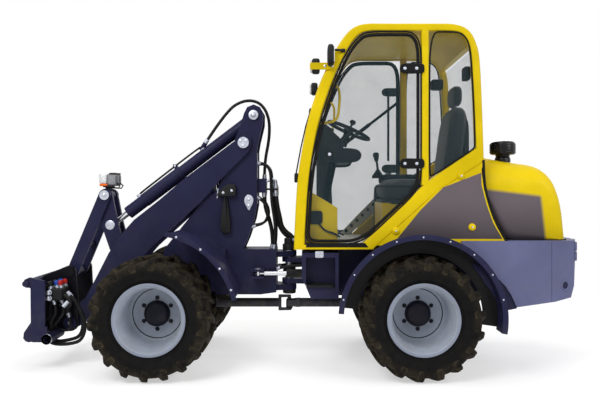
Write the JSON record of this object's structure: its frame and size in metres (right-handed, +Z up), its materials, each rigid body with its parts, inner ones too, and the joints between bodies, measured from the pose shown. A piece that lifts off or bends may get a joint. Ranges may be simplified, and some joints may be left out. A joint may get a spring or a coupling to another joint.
{
  "type": "compact articulated wheel loader",
  "caption": "Compact articulated wheel loader with a glazed cab, narrow parallel-lift boom, quick hitch, lugged tyres and a hinged engine hood.",
  "frame": {"origin": "on the ground under the middle of the whole machine's box", "axes": "+X forward, +Y to the machine's left, +Z up"},
  "size_m": [3.682, 1.3, 2.2899],
  "materials": {
    "yellow_paint": "semi-gloss paint",
    "navy_paint": "semi-gloss paint",
    "grey_navy_paint": "semi-gloss paint",
    "black_paint": "semi-gloss paint",
    "rim_paint": "semi-gloss paint",
    "panel_paint": "semi-gloss paint",
    "bright_steel": "machined",
    "rod_chrome": "polished",
    "casting": "painted casting",
    "tyre": "dusty rubber",
    "glass": "clear tinted",
    "black_plastic": "matte",
    "lamp_plastic": "glossy",
    "seat_cloth": "woven",
    "hose_rubber": "matte"
  },
  "bodies": {
    "rear_body": {"rear_frame": "navy_paint", "engine": "casting", "counterweight": "grey_navy_paint", "cab_side_left": "yellow_paint", "cab_side_right": "yellow_paint", "cab_floor": "black_paint", "cab_rear_wall": "yellow_paint", "cab_roof": "yellow_paint", "cab_glass": "glass", "side_panels": "panel_paint", "rear_fenders": "navy_paint", "rear_axle": "casting", "joint_hose_left": "hose_rubber", "joint_hose_right": "hose_rubber", "seat_base": "yellow_paint", "seat_cushion": "seat_cloth", "seat_back": "seat_cloth", "dash_console": "black_plastic", "steering_wheel": "black_plastic", "control_console": "black_plastic", "cab_fittings": "black_plastic", "tail_lamps": "lamp_plastic"},
    "front_body": {"frame_pins": "bright_steel", "loader_tower": "navy_paint", "front_axle": "casting", "front_fenders": "navy_paint", "tilt_hose": "hose_rubber", "tower_hose_left": "hose_rubber", "tower_hose_right": "hose_rubber"},
    "lift_arm": {"lift_arm": "navy_paint"},
    "lever_pin": {"lever_pin": "bright_steel"},
    "tilt_lever": {"tilt_lever": "navy_paint", "head_lamps": "lamp_plastic"},
    "link_pin": {"link_pin": "bright_steel"},
    "tilt_link": {"tilt_link": "navy_paint"},
    "hitch_pin": {"hitch_pin": "bright_steel"},
    "hitch": {"hitch": "navy_paint", "hitch_hose_left": "hose_rubber", "hitch_hose_right": "hose_rubber"},
    "tilt_barrel": {"tilt_barrel": "navy_paint"},
    "tilt_rod": {"tilt_rod": "rod_chrome"},
    "lift_barrel": {"lift_barrel": "navy_paint"},
    "lift_rod": {"lift_rod": "rod_chrome"},
    "steer_barrel": {"steer_barrel": "black_paint"},
    "steer_rod": {"steer_rod": "rod_chrome"},
    "door_left": {"door_left": "black_paint", "door_glass_left": "glass"},
    "door_right": {"door_right": "black_paint", "door_glass_right": "glass"},
    "hood": {"hood": "yellow_paint", "air_cleaner": "black_plastic"},
    "wheel_front_left": {"tyre_front_left": "tyre", "rim_front_left": "rim_paint"},
    "wheel_front_right": {"tyre_front_right": "tyre", "rim_front_right": "rim_paint"},
    "wheel_rear_left": {"tyre_rear_left": "tyre", "rim_rear_left": "rim_paint"},
    "wheel_rear_right": {"tyre_rear_right": "tyre", "rim_rear_right": "rim_paint"}
  },
  "joints": [
    {"name": "articulation", "type": "hinge", "parent": "rear_body", "child": "front_body", "pos_m": [0.085, 0, 0.6], "axis": [0, 0, 1], "range_deg": [-40, 40], "deforming": ["joint_hose_left", "joint_hose_right"]},
    {"name": "lift", "type": "hinge", "parent": "front_body", "child": "lift_arm", "pos_m": [0.404, 0, 1.542], "axis": [0, -1, 0], "range_deg": [-6, 80]},
    {"name": "hitch_level", "type": "hinge", "parent": "lift_arm", "child": "hitch_pin", "pos_m": [1.612, 0, 0.28], "axis": [0, -1, 0], "range_deg": [-81, 7]},
    {"name": "tilt", "type": "hinge", "parent": "hitch_pin", "child": "hitch", "pos_m": [1.612, 0, 0.28], "axis": [0, 1, 0], "range_deg": [-12, 45]},
    {"name": "lever_level", "type": "hinge", "parent": "lift_arm", "child": "lever_pin", "pos_m": [1.3, 0, 0.75], "axis": [0, -1, 0], "range_deg": [-65, 6]},
    {"name": "lever_tilt", "type": "hinge", "parent": "lever_pin", "child": "tilt_lever", "pos_m": [1.3, 0, 0.75], "axis": [0, 1, 0], "range_deg": [-10, 37]},
    {"name": "link_level", "type": "hinge", "parent": "tilt_lever", "child": "link_pin", "pos_m": [1.394, 0, 1.173], "axis": [0, -1, 0], "range_deg": [-6, 65]},
    {"name": "link_tilt", "type": "hinge", "parent": "link_pin", "child": "tilt_link", "pos_m": [1.394, 0, 1.173], "axis": [0, 1, 0], "range_deg": [-37, 10]},
    {"name": "tilt_barrel_swing", "type": "hinge", "parent": "front_body", "child": "tilt_barrel", "pos_m": [0.335, 0, 1.739], "axis": [0, -1, 0], "range_deg": [-6, 75], "deforming": ["tilt_hose"]},
    {"name": "tilt_rod_slide", "type": "slide", "parent": "tilt_barrel", "child": "tilt_rod", "axis": [0.7966, 0, -0.6045], "range_m": [-0.037, 0.135]},
    {"name": "lift_barrel_swing", "type": "hinge", "parent": "front_body", "child": "lift_barrel", "pos_m": [0.43, 0, 0.56], "axis": [0, -1, 0], "range_deg": [-10, 10]},
    {"name": "lift_rod_slide", "type": "slide", "parent": "lift_barrel", "child": "lift_rod", "axis": [0.2661, 0, 0.9639], "range_m": [-0.04, 0.45]},
    {"name": "steer_barrel_swing", "type": "hinge", "parent": "rear_body", "child": "steer_barrel", "pos_m": [-0.2, 0.165, 0.627], "axis": [0, 0, 1], "range_deg": [-17.5, 17.5]},
    {"name": "steer_rod_slide", "type": "slide", "parent": "steer_barrel", "child": "steer_rod", "axis": [1, 0, 0], "range_m": [-0.115, 0.115]},
    {"name": "door_left_swing", "type": "hinge", "parent": "rear_body", "child": "door_left", "pos_m": [-0.803, 0.4893, 1.5], "axis": [0, 0, 1], "range_deg": [0, 100]},
    {"name": "door_right_swing", "type": "hinge", "parent": "rear_body", "child": "door_right", "pos_m": [-0.803, -0.4893, 1.5], "axis": [0, 0, -1], "range_deg": [0, 100]},
    {"name": "hood_lift", "type": "hinge", "parent": "rear_body", "child": "hood", "pos_m": [-1.212, 0, 1.458], "axis": [0, 1, 0], "range_deg": [0, 50]},
    {"name": "wheel_front_left_spin", "type": "hinge", "parent": "front_body", "child": "wheel_front_left", "pos_m": [0.945, 0.46, 0.395], "axis": [0, 1, 0], "continuous": true},
    {"name": "wheel_front_right_spin", "type": "hinge", "parent": "front_body", "child": "wheel_front_right", "pos_m": [0.945, -0.46, 0.395], "axis": [0, 1, 0], "continuous": true},
    {"name": "wheel_rear_left_spin", "type": "hinge", "parent": "rear_body", "child": "wheel_rear_left", "pos_m": [-0.775, 0.46, 0.395], "axis": [0, 1, 0], "continuous": true},
    {"name": "wheel_rear_right_spin", "type": "hinge", "parent": "rear_body", "child": "wheel_rear_right", "pos_m": [-0.775, -0.46, 0.395], "axis": [0, 1, 0], "continuous": true}
  ],
  "couplings": [
    {"joint": "hitch_level", "follows": "lift", "ratio": -1},
    {"joint": "lever_level", "follows": "lift", "ratio": -0.8},
    {"joint": "link_level", "follows": "lift", "ratio": 0.8},
    {"joint": "tilt_barrel_swing", "follows": "lift", "ratio": 0.92},
    {"joint": "lift_barrel_swing", "follows": "lift", "ratio": 0.0146},
    {"joint": "lift_rod_slide", "follows": "lift", "m_per_rad": 0.3018},
    {"joint": "lever_tilt", "follows": "tilt", "ratio": 0.8},
    {"joint": "link_tilt", "follows": "tilt", "ratio": -0.8},
    {"joint": "tilt_rod_slide", "follows": "tilt", "m_per_rad": 0.168},
    {"joint": "steer_barrel_swing", "follows": "articulation", "ratio": 0.42},
    {"joint": "steer_rod_slide", "follows": "articulation", "m_per_rad": -0.161}
  ]
}
